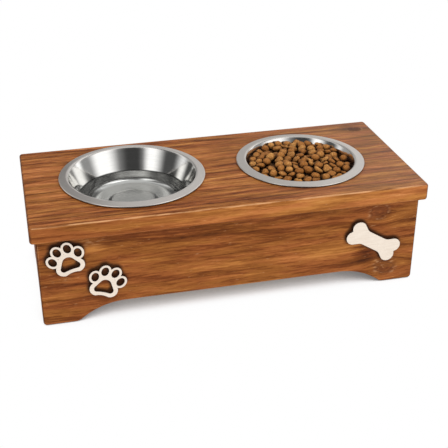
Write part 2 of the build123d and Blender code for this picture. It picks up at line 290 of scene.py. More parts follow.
# %% Floor
floor_half = 3.0                         # m
floor_drop = 0.2 * mm                    # under the feet, so that the two don't share a plane
shadow_reach, plain_reach = 0.30, 0.50   # m: the shadow's fade to white
shadow_squeeze = (0.9, 1.3, 1)           # the fade is a little wider than deep
contact_reach = 0.07                     # m: how far the floor looks for things that shade it
bright_from, bright_full = 0.17, 0.63    # openness: paper starts to whiten, is white
# painted contact shadow: the paper's own colour greys from paper_grey toward contact_grey where
# little is open round it
grey_from, grey_full = 0.10, 0.42
contact_grey, paper_grey = (0.22, 0.21, 0.22, 1), (0.93, 0.93, 0.95, 1)
paper_lift = 0.16                        # light that the camera alone sees
mirrored_level = 0.55                    # brightness of the paper in a reflection

floor = stage_piece("floor", [
    (x * floor_half, y * floor_half, -floor_drop) for x, y in [(-1, -1), (1, -1), (1, 1), (-1, 1)]
], [range(4)])
paper, tree, output = new_material("white_paper")
oval = tree.scaled(own_place(tree), shadow_squeeze)
plain = tree.ease(tree.length(oval), shadow_reach, plain_reach)
open_air = open_to_air(tree, contact_reach)
plain = tree.most(plain, tree.ease(open_air, bright_from, bright_full))
# painted contact shadow on the paper, by its openness to the air
shade = tree.mix(tree.ease(open_air, grey_from, grey_full), contact_grey, paper_grey)
matt = tree.add("ShaderNodeBsdfDiffuse", {"Color": shade})
path = tree.add("ShaderNodeLightPath").node.outputs
lift = tree.times(path["Is Camera Ray"], paper_lift)
lift = tree.add("ShaderNodeEmission", {"Strength": lift})
matt = tree.add("ShaderNodeAddShader", {0: matt, 1: lift})
mirrored = tree.plus(1, path["Is Glossy Ray"], mirrored_level - 1)
white = tree.add("ShaderNodeEmission", {"Color": (1, 1, 1, 1), "Strength": mirrored})
tree.join(tree.add("ShaderNodeMixShader", {0: plain, 1: matt, 2: white}), output.inputs["Surface"])
floor.data.materials.append(paper)
print("floor is plain white past", plain_reach, "m")

# %% [markdown]
# ### Sky and lamp
#
# The sky is even, because a colour should look about as it is written under it. One large soft
# lamp in front and to the right adds a little direction. It is hidden from reflections: a square
# lamp mirrored in steel would give the studio away.

# %% Sky and lamp
sky_level = 0.9
lamp_side, lamp_power = 1.2, 7.0   # m and W
lamp_place = (0.45, -1.0, 1.1)

world = bpy.data.worlds.new("soft_sky")
world.use_nodes = True
world.node_tree.nodes.clear()
tree = Tree(world.node_tree)
path = tree.add("ShaderNodeLightPath").node.outputs
seen = tree.most(path["Is Camera Ray"], path["Is Glossy Ray"])
seen = tree.most(seen, path["Is Transmission Ray"])
sky = tree.add("ShaderNodeBackground", {"Color": (1, 0.995, 0.985, 1), "Strength": sky_level})
backdrop = tree.add("ShaderNodeBackground", {"Color": (1, 1, 1, 1), "Strength": 1.0})
shown = tree.add("ShaderNodeMixShader", {0: seen, 1: sky, 2: backdrop})
tree.add("ShaderNodeOutputWorld", {"Surface": shown})
bpy.context.scene.world = world

lamp_data = bpy.data.lights.new("soft_lamp", "AREA")
lamp_data.shape = "SQUARE"
lamp_data.size = lamp_side
lamp_data.energy = lamp_power
lamp = in_scene("soft_lamp", lamp_data)
lamp.location = lamp_place
lamp.rotation_euler = (-lamp.location).to_track_quat("-Z", "Y").to_euler()
lamp.visible_glossy = False
print("lamp hangs", round(lamp.location.length, 2), "m from the feeder")

# %% [markdown]
# ### A wall for the steel
#
# Polished steel has no look of its own: it shows the room. In a real studio grey and black cards
# stand round the set, out of the picture, and draw the bands in the metal. Here they are painted
# as soft-edged bands on one round wall under a grey ceiling, and only reflections see it.

# %% Reflection wall
wall_distance = 0.9               # m
wall_low, wall_high = -0.3, 2.2   # m
wall_step = 5                     # degrees
ceiling_from = 1.2                # m: the wall's tone turns into the ceiling's from here up
white_level, ceiling_level = 1.2, 0.55
bands = [  # headings in degrees, 0 to the back and 90 to the right: start, full, full, end; level
    (-60, -42, 50, 66, 0.66),
    (-62, -44, 20, 38, 0.44),
    (-72, -46, -22, 2, 0.34),
    (-28, -21, -15, -8, 0.16),
    (50, 56, 60, 68, 0.36),
    (72, 84, 98, 122, 0.30),
    (142, 172, 214, 230, 0.26),
    (160, 188, 206, 222, 0.05),
    (236, 262, 276, 303, 0.075),
]

turns = [radians(turn) for turn in range(0, 360, wall_step)]
ring = [(wall_distance * sin(turn), wall_distance * cos(turn)) for turn in turns]
count = len(ring)
sides = [(i, (i + 1) % count, (i + 1) % count + count, i + count) for i in range(count)]
wall = stage_piece("reflection_wall", [(x, y, z) for z in (wall_low, wall_high) for x, y in ring],
                   [*sides, range(count, 2 * count)])
wall.visible_camera = wall.visible_diffuse = wall.visible_shadow = False

paint, tree, output = new_material("painted_bands")
x, y, z = tree.parts(own_place(tree))
turn = tree.math("DEGREES", tree.math("ARCTAN2", x, y))
level = white_level
for start, dark_from, dark_to, end, shade in bands:
    middle = (start + end) / 2
    away = tree.math("WRAP", tree.less(turn, middle), 180, -180)
    inside = tree.less(tree.ease(away, start - middle, dark_from - middle),
                       tree.ease(away, dark_to - middle, end - middle))
    level = tree.plus(level, tree.less(shade, level), inside)
ceiling = tree.ease(z, ceiling_from, wall_high)
level = tree.plus(level, tree.less(ceiling_level, level), ceiling)
glow = tree.add("ShaderNodeEmission", {"Color": (1, 1, 1, 1), "Strength": level})
tree.join(glow, output.inputs["Surface"])
wall.data.materials.append(paint)
print("wall with", len(bands), "bands")

# %% [markdown]
# ## Colours and surfaces
#
# A colour is easiest to choose as it reads on a screen, but light adds up in linear numbers, so
# `tone` turns one into the other. Patterns are measured in millimetres of the object's own frame:
# a plank's grain then has its real size, and it stays on the wood when a body moves. Every
# finish ends in the same shader, the Principled BSDF, which does wood, steel and water alike.

# %% Colours, places and the last node
def tone(red, green, blue):
    """A colour as it reads on a screen, 0 to 255, turned into Blender's linear light."""
    def linear(level):
        level /= 255
        return level / 12.92 if level <= 0.04045 else ((level + 0.055) / 1.055) ** 2.4
    return (linear(red), linear(green), linear(blue), 1.0)


def in_millimetres(tree):
    """The same place in millimetres."""
    return tree.scaled(own_place(tree), (1 / mm, 1 / mm, 1 / mm))


def own_normal(tree):
    """The direction of the surface in the object's own frame."""
    return tree.add("ShaderNodeTexCoord", output="Normal")


def bumped(tree, height, depth, strength=1.0):
    """A normal that is tilted as if the surface rose by height times depth."""
    return tree.add("ShaderNodeBump", {"Height": height, "Distance": depth, "Strength": strength})


def finish_surface(tree, output, **sockets):
    """Ends a material in one Principled shader with the given sockets."""
    names = {name.replace("_", " "): value for name, value in sockets.items()}
    shader = tree.add("ShaderNodeBsdfPrincipled", names)
    tree.join(shader, output.inputs["Surface"])


print("middle grey on a screen is", round(tone(128, 128, 128)[0], 3), "in linear light")

# %% [markdown]
# ## Stained softwood
#
# Every board is cut from a trunk, so its figure is a slice through growth rings. The material
# builds the trunk rather than the picture of a board: the distance from the pith gives the ring,
# and each face of the board cuts the same rings, ends included. Noise that is stretched along
# the grain makes the rings wander and adds streaks, fibres, pores and pale flecks.
#
# A knot is the foot of a branch. The grain bends round it, it has rings of its own inside a dark
# ring of bark, and the fibres that turn there leave a broken pale ring outside.

# %% Knots
sweep_oval, sweep_pull = (2.0, 1.2), -0.85   # reach of the bent grain in knot sizes; its strength
core_oval, core_wobble = (0.75, 0.6), 2.4    # shape of the knot in sizes; unevenness of its edge
core_edge, core_rings, core_tones = (0.75, 1.25), 2.2, (0.25, 0.8)
bark_place, bark_sharpness, bark_tones = 1.0, 4.5, (0.2, 1.3)
halo_place, halo_sharpness, halo_breaks = 1.25, 5.0, (0.46, 0.64)


def around(tree, place, along, across, length, width):
    """Distance of a point from a spot on the face, 1 at the edge of its oval."""
    offset = tree.vector("SUBTRACT", place, (along, across, 0))
    return tree.length(tree.scaled(offset, (1 / length, 1 / width, 0)))


def knot_marks(tree, place, across, quick, broken, knots):
    """The grain bent round the knots, the dark of the knots and the pale of their outer rings."""
    dark = pale = 0.0
    for along, spot, size in knots:
        away = around(tree, place, along, spot, size * sweep_oval[0], size * sweep_oval[1])
        pull = tree.times(tree.bell(away), sweep_pull)
        across = tree.plus(across, tree.less(across, spot), pull)
        middle = around(tree, place, along, spot, size * core_oval[0], size * core_oval[1])
        middle = tree.sway(middle, quick, core_wobble)
        rings = tree.math("PINGPONG", tree.times(middle, core_rings), 1.0)
        filled = tree.less(1, tree.ease(middle, *core_edge))
        rings = tree.times(filled, tree.between(rings, *core_tones))
        bark = tree.bell(tree.times(tree.less(middle, bark_place), bark_sharpness))
        bark = tree.times(bark, tree.between(quick, *bark_tones))
        dark = tree.most(dark, tree.most(rings, bark))
        halo = tree.bell(tree.times(tree.less(middle, halo_place), halo_sharpness))
        pale = tree.most(pale, tree.times(halo, broken))
    return across, dark, pale


print("grain bends out to", sweep_oval[0] * 2, "sizes from a knot")

# %% Growth rings
board_noises = {  # waves over 1 mm along, across and through the grain; detail; roughness
    "slow": ((0.004, 0.02, 0.02), 2, 0.5),
    "quick": ((0.02, 0.1, 0.1), 3, 0.5),
    "broken": ((0.13, 0.4, 0.4), 3, 0.6),
}
grown_noises = {  # the same, on the grain that bends round the knots
    "broad": ((0.012, 0.13, 0.13), 4, 0.55),
    "narrow": ((0.030, 0.42, 0.42), 4, 0.65),
    "fibre": ((0.09, 1.9, 1.9), 2, 0.6),
    "pores": ((0.035, 1.1, 1.1), 3, 0.7),
    "flecks": ((0.1, 0.5, 0.5), 3, 0.6),
}
trunk_slant = 0.003    # rings gained over 1 mm along the board
ring_wander = 0.5      # rings
late_rise, late_stop = (0.45, 0.88), (0.92, 1.0)   # share of a year: late wood comes and goes
late_range = (0.15, 1.0)   # darkness of the faintest and the strongest year
quick_share = 1 / 6        # how far the quick noise moves the grain, beside the slow one
pores_from, scuffs_from, flecks_from = (0.55, 0.68), (0.5, 0.62), (0.66, 0.74)


def board_place(tree, grain):
    """Point of a board in mm as along, across and through the grain, for an order such as XZY."""
    axes = dict(zip("XYZ", tree.parts(in_millimetres(tree))))
    return tree.joined(*[axes[letter] for letter in grain])


def late_wood(tree, along, across, through, quick, pith, ring):
    """Dark end of each year's ring; its darkness differs from year to year."""
    out = tree.math("POWER", tree.less(across, pith[0]), 2)
    out = tree.math("ADD", out, tree.math("POWER", tree.less(through, pith[1]), 2))
    rings = tree.math("DIVIDE", tree.math("SQRT", out), ring)
    rings = tree.plus(tree.plus(rings, along, trunk_slant), quick, ring_wander)
    year = tree.math("FLOOR", rings)
    season = tree.less(rings, year)
    growth = tree.add("ShaderNodeTexWhiteNoise", {"W": year}, noise_dimensions="1D")
    late = tree.times(tree.ease(season, *late_rise), tree.less(1, tree.ease(season, *late_stop)))
    return tree.times(late, tree.between(growth, *late_range))


def grain_field(tree, place, pith, ring, wander, knots, scuffs, shift):
    """Figure of a board: a 0 to 1 pattern for each name."""
    moved = tree.vector("ADD", place, (shift, 0, 0))
    made = {name: tree.noise(moved, *how) for name, how in board_noises.items()}
    along, across, through = tree.parts(place)
    across = tree.sway(across, made["slow"], wander)
    across = tree.sway(across, made["quick"], wander * quick_share)
    broken = tree.ease(made["broken"], *halo_breaks)
    across, dark, pale = knot_marks(tree, place, across, made["quick"], broken, knots)
    late = late_wood(tree, along, across, through, made["quick"], pith, ring)

    grown = tree.joined(tree.math("ADD", along, shift), across, through)
    made = {name: tree.noise(grown, *how) for name, how in grown_noises.items()}
    scuffed = tree.ease(made["flecks"], *scuffs_from)
    for scuff in scuffs:
        near = tree.bell(around(tree, place, *scuff))
        pale = tree.most(pale, tree.times(near, scuffed))
    pale = tree.most(pale, tree.ease(made["flecks"], *flecks_from))
    return {**made, "pores": tree.ease(made["pores"], *pores_from),
            "late": late, "knot": dark, "pale": pale}


print(len(board_noises) + len(grown_noises), "noises make the grain")

# %% [markdown]
# ### Stain
#
# Stain sinks into wood unevenly: early wood drinks more than late wood, and the maker's rag leaves
# patches. So every pattern of the grain moves one value, the tone, and a ramp turns the tone into
# a brown. The rounded edges are painted lighter in broken lines, partly where sanding wears the
# stain off and partly as a painted highlight on the edges that face up or sideways, and the cut
# ends of the fibres drink most and turn dark. Where an edge curves, no component of its normal is
# near 1, and that is how the material finds it.

# %% Tones of the stain
stain = [(0.0, tone(72, 32, 8)), (0.28, tone(114, 59, 20)), (0.52, tone(151, 89, 41)),
         (0.76, tone(186, 119, 63)), (1.0, tone(218, 156, 100))]
swayed_by = {"broad": 0.9, "narrow": 1.05, "fibre": 0.6}
darkened_by = {"late": 0.25, "pores": 0.28}
golden_level, golden_evenness, golden_from = 0.57, 0.42, (-170, 0)   # the last in mm along
front_facing = (0.5, 0.9)   # how straight to the front, or up, a face looks to count as one


def stain_tone(tree, place, normal, grown, level, figure, patches, golden):
    """How light each spot of the stain is, about 0 to 1."""
    made = level
    for name, strength in swayed_by.items():
        made = tree.sway(made, grown[name], strength * figure)
    for name, strength in darkened_by.items():
        made = tree.plus(made, grown[name], -strength * figure)
    for *spot, strength in patches:
        made = tree.plus(made, tree.bell(around(tree, place, *spot)), strength)
    if golden:
        front = tree.ease(tree.times(tree.parts(normal)[1], -1), *front_facing)
        bright = tree.ease(tree.parts(place)[0], *golden_from)
        bright = tree.between(bright, golden_level, golden_level + golden)
        made = tree.plus(made, tree.times(front, golden_evenness), tree.less(bright, made))
    return made


print("stain of", len(stain), "tones")

# %% Worn and lit edges
rounded_from, lines_from, not_under = (0.03, 0.24), (0.32, 0.60), (-0.3, 0.0)


def worn_and_lit_edges(tree, normal, facing, narrow, wear):
    """Where the rounded edges are painted lighter, partly as rubbed stain and partly as a painted
    highlight: not underneath, and hardly on the ends.
    """
    x, y, z = facing
    squareness = tree.most(tree.most(x, y), z)
    rubbed_and_lit = tree.ease(tree.less(1, squareness), *rounded_from)
    rubbed_and_lit = tree.times(rubbed_and_lit, tree.ease(narrow, *lines_from))
    rubbed_and_lit = tree.times(rubbed_and_lit, tree.ease(tree.parts(normal)[2], *not_under))
    return tree.times(rubbed_and_lit, tree.less(wear, tree.times(x, 2)), clamp=True)

# %% Stained wood
knot_stain, knot_depth = tone(84, 40, 20), 0.72
# one pale tone for the flecks and for the lighter edges, which are partly rubbed stain and partly
# a painted highlight
worn_and_lit_stain, fleck_depth = tone(230, 178, 128), 0.4
# painted sheen: the top's colour is lightened toward the right, where the soft light skims over it
sheen_tone, sheen_from = tone(176, 148, 130), (-20, 230)   # mm along
# painted shade round the plaques: its dark colour, which the stained end grain shares, its
# strength, curve, range and wobble
dark_end_and_plaque_shade, plaque_shadow_depth, plaque_shadow_curve = tone(26, 12, 5), 0.86, 1.3
plaque_shadow_from, plaque_shadow_wobble = (0.12, 0.72), 0.4
end_facing, end_depth = (0.15, 0.8), 0.45
cast_scale, cast_from = (0.014, 0.09, 0.09), (0.38, 0.62)   # patches of redder, yellower brown
casts = tone(255, 245, 242), tone(252, 255, 230)
wood_roughness, wood_sheen = (0.36, 0.62), 0.12
wood_relief, relief_strength, relief_share = 0.3 * mm, 0.7, 0.6


def stained_board(name, grain, pith, ring, wander, knots=(), patches=(), scuffs=(), shift=0,
                  level=0.5, figure=1.0, golden=0.0, painted_sheen=0.0, wear=0.7, plaque_shadowed=False,
                  tones=stain, end_tone=dark_end_and_plaque_shade):
    """Wood of a board, stained or bare.

    grain: order of the axes along, across and through it; pith: its place across and through the
    board; ring: width of a year; wander: sway of the grain; knots: along, across, size; patches:
    along, across, length, width, how much lighter; scuffs: along, across, length, width, all in
    mm. shift picks another part of the trunk, level is the mean tone, figure the strength of the
    grain and wear that of the pale flecks and the lighter edges. golden lightens the front,
    painted_sheen paints a sheen on the top toward the right, and plaque_shadowed paints shade
    round the plaques.
    """
    material, tree, output = new_material(name)
    place, normal = board_place(tree, grain), own_normal(tree)
    grown = grain_field(tree, place, pith, ring, wander, knots, scuffs, shift)
    narrow = grown["narrow"]
    made = stain_tone(tree, place, normal, grown, level, figure, patches, golden)
    colour = tree.ramp(made, tones)
    # painted sheen on the upward faces, growing toward the right
    if painted_sheen:
        sheen = tree.times(tree.ease(tree.parts(place)[0], *sheen_from),
                           tree.ease(tree.parts(normal)[2], *front_facing))
        colour = tree.mix(tree.times(sheen, painted_sheen), colour, sheen_tone)
    uneven = tree.noise(tree.vector("ADD", place, (shift, 0, 50)), cast_scale, 3)
    colour = tree.vector("MULTIPLY", colour, tree.mix(tree.ease(uneven, *cast_from), *casts))
    colour = tree.mix(tree.times(grown["knot"], knot_depth), colour, knot_stain)
    flecks = tree.times(grown["pale"], fleck_depth * wear, clamp=True)
    colour = tree.mix(flecks, colour, worn_and_lit_stain)
    facing = tree.parts(tree.vector("ABSOLUTE", normal))
    # rounded edges that face up or sideways painted lighter: partly rubbed stain, partly a painted
    # highlight
    rubbed_and_lit = worn_and_lit_edges(tree, normal, facing, narrow, wear)
    colour = tree.mix(rubbed_and_lit, colour, worn_and_lit_stain)

    end = tree.times(tree.ease(facing[0], *end_facing), end_depth) if grain[0] == "X" else 0.0
    # paint shade round the plaques: darker where they are close, as their cast shadow would be
    if plaque_shadowed:
        near = tree.add("ShaderNodeAttribute", attribute_name="near_plaque", output="Fac")
        burn_and_shade = tree.ease(tree.sway(near, narrow, plaque_shadow_wobble), *plaque_shadow_from)
        burn_and_shade = tree.times(tree.math("POWER", burn_and_shade, plaque_shadow_curve), plaque_shadow_depth)
        end = tree.most(end, burn_and_shade)
    relief = tree.plus(grown["late"], narrow, relief_share)
    relief = tree.plus(relief, grown["fibre"], relief_share)
    finish_surface(tree, output, Base_Color=tree.mix(end, colour, end_tone),
                   Roughness=tree.between(narrow, *wood_roughness), Specular_IOR_Level=wood_sheen,
                   Normal=bumped(tree, relief, wood_relief, relief_strength))
    return material

# %% [markdown]
# ### The front board and the shade painted round its plaques
#
# The plaques are glued on, and the wood round them is painted darker, most of all close to their
# edges and inside the toes: a painted shade, as the plaques would cast. A material can't know
# where another piece lies, so Geometry Nodes measure it. For each point of the board, Geometry
# Proximity tells how close the plaques are to eight places round it, and the mean of the eight is
# stored under a name that the material reads. The ring of places blurs the painted shade, and its
# middle is moved, so that the shade spreads further on one side, as a cast shadow does. For that
# the board is copied and its face is cut finely.

# %% A finely cut copy of a board
weld, flat, snap = 0.005 * mm, 0.01 * mm, 0.001 * mm
crease = radians(35)


def fine_copy(node, ranges, pitch):
    """A merged copy of a node's mesh whose front face is cut along X and Z inside the ranges."""
    shape = bmesh.new()
    shape.from_mesh(nodes[node].data)
    bmesh.ops.remove_doubles(shape, verts=shape.verts, dist=weld)
    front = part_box(node)[0].y
    for axis, (low, high) in ranges:
        normal = Vector((axis == "X", 0, axis == "Z"))
        for step in np.arange(low, high, pitch):
            faces = [face for face in shape.faces
                     if abs(face.calc_center_median().y - front) < flat]
            edges = {edge for face in faces for edge in face.edges}
            corners = {corner for face in faces for corner in face.verts}
            bmesh.ops.bisect_plane(shape, geom=[*faces, *edges, *corners], dist=snap,
                                   plane_co=normal * step * mm, plane_no=normal)
    for face in shape.faces:
        face.smooth = True
    mesh = bpy.data.meshes.new(node + "_fine")
    shape.to_mesh(mesh)
    shape.free()
    mesh.set_sharp_from_angle(angle=crease)
    return mesh


plaque_ranges = [("X", (-217, -117)), ("X", (122, 210)), ("Z", (24, 107))]   # mm
fine_pitch = 1.3
fine_front = fine_copy("front_panel", plaque_ranges, fine_pitch)
print("front cut into", len(fine_front.polygons), "faces")

# %% Painted plaque shade by Geometry Nodes
# the painted plaque shade is blurred over a ring of places and moved to one side, as a cast shadow
plaque_shadow_blur, plaque_shadow_reach = 3.0 * mm, 3.2 * mm
plaque_shadow_shift = (0.8 * mm, -1.7 * mm)
plaque_shadow_samples = 8
plaque_inputs = {"Left paw": "left_paw_plaque", "Right paw": "right_paw_plaque",
                 "Bone": "bone_plaque"}

plaque_shadow, given, result = new_geometry(
    "plaque_shadow", {**{label: "Object" for label in plaque_inputs}, "Finish": "Material"})
plaques = plaque_shadow.tree.nodes.new("GeometryNodeJoinGeometry")
for label in plaque_inputs:
    shape = plaque_shadow.add("GeometryNodeObjectInfo", {"Object": given[label]}, "Geometry")
    plaque_shadow.join(shape, plaques.inputs["Geometry"])
here = plaque_shadow.add("GeometryNodeInputPosition")
near = 0.0
for turn in range(0, 360, 360 // plaque_shadow_samples):
    aside = (plaque_shadow_blur * cos(radians(turn)) + plaque_shadow_shift[0], 0,
             plaque_shadow_blur * sin(radians(turn)) + plaque_shadow_shift[1])
    away = plaque_shadow.add("GeometryNodeProximity",
                      {0: plaques.outputs[0], 2: plaque_shadow.vector("ADD", here, aside)},
                      "Distance", target_element="FACES")
    near = plaque_shadow.plus(near, plaque_shadow.less(1, plaque_shadow.ease(away, 0, plaque_shadow_reach)),
                       1 / plaque_shadow_samples)
marked = plaque_shadow.add("GeometryNodeStoreNamedAttribute",
                    {"Geometry": given["Mesh"], "Name": "near_plaque", "Value": near},
                    data_type="FLOAT", domain="POINT")
end_geometry(plaque_shadow, marked, given["Finish"], result)

# %% Front board
front_knots = [(171, 93, 13), (183, 19, 16)]
front_scuffs = [(-158, 100, 11, 7), (-196, 60, 8, 10)]
front_patches = [(30, 114, 110, 9, 0.16), (-158, 93, 12, 6, 0.22), (80, 50, 70, 9, 0.22),
                 (40, 84, 110, 9, -0.08), (158, 38, 12, 15, -0.32), (-60, 98, 80, 12, -0.16),
                 (-175, 40, 30, 30, -0.04)]
front_stain = stained_board("stained_front", "XZY", (-40, -190), 12.0, 9, front_knots,
                            front_patches, front_scuffs, level=0.49, figure=0.8, plaque_shadowed=True)
front_board = run_geometry(
    "front_board", fine_front, plaque_shadow, "storage_box",
    {"Finish": front_stain, **{label: nodes[node] for label, node in plaque_inputs.items()}})
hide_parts("front_panel")

# %% [markdown]
# ### The other stained boards
#
# No two boards of a real box show the same grain. The same function makes them all, each from
# another part of the trunk and with its own knots. The top is the board that is seen most: its
# front edge is a lighter, golden strip, and a painted sheen lightens its face a little toward the
# right, where the soft light skims over it.

# %% Back, ends and top
def dress(material, *names):
    """Puts a material on carried-over pieces."""
    for name in names:
        nodes[name].data.materials.clear()
        nodes[name].data.materials.append(material)
    print(material.name, "on", ", ".join(names))


dress(stained_board("stained_back", "XZY", (40, 160), 8.0, 14, [(-120, 60, 12)], shift=900),
      "back_panel")
dress(stained_board("stained_left_end", "YZX", (60, -280), 7.0, 12, shift=1500),
      "left_end_panel")
dress(stained_board("stained_right_end", "YZX", (40, 280), 7.0, 12, shift=2100),
      "right_end_panel")
top_patches = [(168, 52, 26, 6, 0.25), (-110, -82, 130, 10, -0.1), (-20, 10, 30, 60, 0.06),
               (-195, 40, 40, 70, 0.14), (196, 80, 16, 10, -0.3)]
dress(stained_board("stained_top", "XYZ", (38, 30), 6.2, 10, [(203, 76, 10)], top_patches,
                    shift=300, level=0.56, figure=1.1, golden=0.27, painted_sheen=0.2), "top_board")

# %% [markdown]
# ### Bare wood inside
#
# What the maker didn't expect to be seen was left as it came: cleats and blocks of planed
# softwood, and a floor of birch plywood. The same material draws them with paler tones, and the
# grain runs along each piece, as a sawn strip's does.

# %% Cleats, blocks, battens and floor
pine = [(0.0, tone(150, 108, 64)), (0.3, tone(184, 144, 96)), (0.55, tone(207, 171, 122)),
        (0.8, tone(222, 192, 147)), (1.0, tone(234, 211, 174))]
birch = [(0.0, tone(176, 142, 100)), (0.5, tone(212, 184, 146)), (1.0, tone(230, 209, 178))]
sawn_end = tone(140, 98, 58)
for name, grain, shift, pieces in [
    ("bare_strip", "XYZ", 0, ["front_cleat", "back_cleat"]),
    ("bare_batten", "YXZ", 400, ["left_batten", "right_batten"]),
    ("bare_block", "ZXY", 800, ["front_left_block", "front_right_block",
                                "back_left_block", "back_right_block"]),
]:
    dress(stained_board(name, grain, (0, -60), 5.0, 6, shift=shift, figure=0.55, wear=0.0,
                        tones=pine, end_tone=sawn_end), *pieces)
dress(stained_board("birch_plywood", "XYZ", (0, -400), 30.0, 40, shift=1200, level=0.55,
                    figure=0.8, wear=0.0, tones=birch, end_tone=sawn_end), "floor_board")

# %% [markdown]
# ## Plaques
#
# The paws and the bone are cut from thin pale plywood by a laser, which burns the cut edge brown
# and leaves the face clean. One material tells the two apart by the direction of the surface.

# %% Pale plywood with a burnt edge
pale_veneer, veneer_scale = (tone(226, 211, 195), tone(235, 222, 207)), (0.05, 1, 0.6)
burnt_edge, char_scale = (tone(30, 17, 10), tone(66, 38, 22)), (0.2, 4, 0.2)
face_from = (0.6, 0.9)   # how straight to the front the clean face looks

plywood, tree, output = new_material("pale_plywood")
place = in_millimetres(tree)
facing = tree.math("ABSOLUTE", tree.parts(own_normal(tree))[1])
cut = tree.less(1, tree.ease(facing, *face_from))
veneer = tree.noise(place, veneer_scale, 3, 0.6)
face = tree.mix(tree.ease(veneer, 0.3, 0.7), *pale_veneer)
char = tree.noise(place, char_scale, 2)
burn_and_shade = tree.mix(tree.ease(char, 0.35, 0.65), *burnt_edge)
finish_surface(tree, output, Base_Color=tree.mix(cut, face, burn_and_shade),
               Roughness=tree.between(veneer, 0.5, 0.7), Normal=bumped(tree, veneer, 0.1 * mm))
dress(plywood, *plaque_inputs.values())

# %% [markdown]
# ## Bowls
#
# A bowl pressed from sheet is a round shape, so its half section is all there is to draw. The
# section bends are real arcs with many points, because a mirror shows every corner. The outer
# face is the inner one moved by the sheet's thickness, and the rim ends in a rolled edge.

# %% Section of a bowl
sheet = 1.0                   # mm, as all sizes of a section
wall_lean = radians(22.5)
wall_taper = tan(wall_lean)
lip_bend = 3.0
bead, bead_turn, bead_points = 1.2, pi + 0.6, 14
disc_level, disc_slope, disc_bend = 2.6, 4.0, 1.6   # the raised disc in the middle of the base


def arc_corners(corners, bends, steps=10):
    """An outline with each inner corner rounded to its own radius."""
    points = [np.array(corners[0], float)]
    for before, corner, after, bend in zip(corners, corners[1:], corners[2:], bends):
        before, corner, after = (np.array(point, float) for point in (before, corner, after))
        back = (before - corner) / np.linalg.norm(before - corner)
        on = (after - corner) / np.linalg.norm(after - corner)
        half = np.arccos(np.clip(back @ on, -1, 1)) / 2
        centre = corner + (back + on) / np.linalg.norm(back + on) * bend / sin(half)
        start = corner + back * bend / np.tan(half) - centre
        end = corner + on * bend / np.tan(half) - centre
        sweep = pi - 2 * half
        for share in (step / steps for step in range(steps + 1)):
            turned = start * sin((1 - share) * sweep) + end * sin(share * sweep)
            points.append(centre + turned / sin(sweep))
    points.append(np.array(corners[-1], float))
    return points


def bowl_wall(rim_radius, rim_width, fall, crest, depth, base_bend, disc_radius):
    """Inner surface of a bowl from its axis to the rim's edge, which lies lower than the lip."""
    lip = rim_radius - rim_width
    disc = disc_level - depth
    corners = [(0, disc), (disc_radius, disc), (disc_radius + disc_slope, -depth),
               (lip - depth * wall_taper, -depth), (lip, crest), (rim_radius - bead, crest - fall)]
    return arc_corners(corners, [disc_bend, disc_bend, base_bend, lip_bend])


def thickened(points, amount):
    """The same line moved sideways by an even amount, as the other face of a sheet is."""
    points = np.array(points)
    along = np.gradient(points, axis=0)
    along /= np.linalg.norm(along, axis=1)[:, None]
    moved = points + amount * np.stack([along[:, 1], -along[:, 0]], axis=1)
    moved[0, 0] = 0
    return moved


def bowl_section(*sizes):
    """Whole half section: inner face, rolled edge of the rim, then the outer face back."""
    inner = bowl_wall(*sizes)
    outer = thickened(inner, sheet)
    middle = inner[-1] - (0, bead)
    turns = np.linspace(pi / 2, pi / 2 - bead_turn, bead_points)[1:]
    edge = [middle + bead * np.array([cos(turn), sin(turn)]) for turn in turns]
    return np.array([*inner, *edge, *outer[::-1][1:]])


Bowl = namedtuple("Bowl", "rim_radius rim_width fall crest depth base_bend disc_radius")
water_sizes = Bowl(85.0, 10.2, 2.2, 2.0, 46.0, 15.0, 25.5)
food_sizes = Bowl(76.7, 11.2, 1.8, 1.6, 40.0, 12.0, 21.0)
print("section of", len(bowl_section(*water_sizes)), "points")

# %% [markdown]
# ### A lathe
#
# Turning a section is a rule, so Geometry Nodes do it. A grid has one row for each point of the
# section and one column for each step round the axis. Every point of the grid looks up its point
# of the section by its row, and moves to where that point would be at its column's turn. Merging
# by distance then closes the seam and the pole.

# %% A lathe made of Geometry Nodes
lathe_steps = 160
seam = 0.02 * mm

lathe, given, result = new_geometry("lathe", {"Steps": "Int", "Finish": "Material"})
rows = lathe.add("GeometryNodeAttributeDomainSize", {"Geometry": given["Mesh"]}, "Point Count")
columns = lathe.math("ADD", given["Steps"], 1)
grid = lathe.add("GeometryNodeMeshGrid", {"Vertices X": columns, "Vertices Y": rows}, "Mesh")
index = lathe.add("GeometryNodeInputIndex")
column = lathe.math("FLOOR", lathe.math("DIVIDE", index, rows))
row = lathe.less(index, lathe.times(column, rows))
here = lathe.add("GeometryNodeInputPosition")
point = lathe.add("GeometryNodeSampleIndex",
                  {"Geometry": given["Mesh"], "Value": here, "Index": row},
                  "Value", data_type="FLOAT_VECTOR")
turn = lathe.math("DIVIDE", lathe.times(column, 2 * pi), given["Steps"])
moved = lathe.add("ShaderNodeVectorRotate", {"Vector": point, "Angle": turn},
                  rotation_type="Z_AXIS")
swung = lathe.add("GeometryNodeSetPosition", {"Geometry": grid, "Position": moved})
closed = lathe.add("GeometryNodeMergeByDistance", {"Geometry": swung, "Distance": seam})
smooth = lathe.add("GeometryNodeSetShadeSmooth", {"Geometry": closed})
end_geometry(lathe, smooth, given["Finish"], result)

# %% Turning a section where its bowl stands
def shift_mesh(piece, place):
    """Moves a piece by its vertices, since a finished piece's object stays at the origin."""
    piece.data.transform(Matrix.Translation(place))
    shape = bmesh.new()
    shape.from_mesh(piece.data)
    bmesh.ops.recalc_face_normals(shape, faces=shape.faces)
    shape.to_mesh(piece.data)
    shape.free()


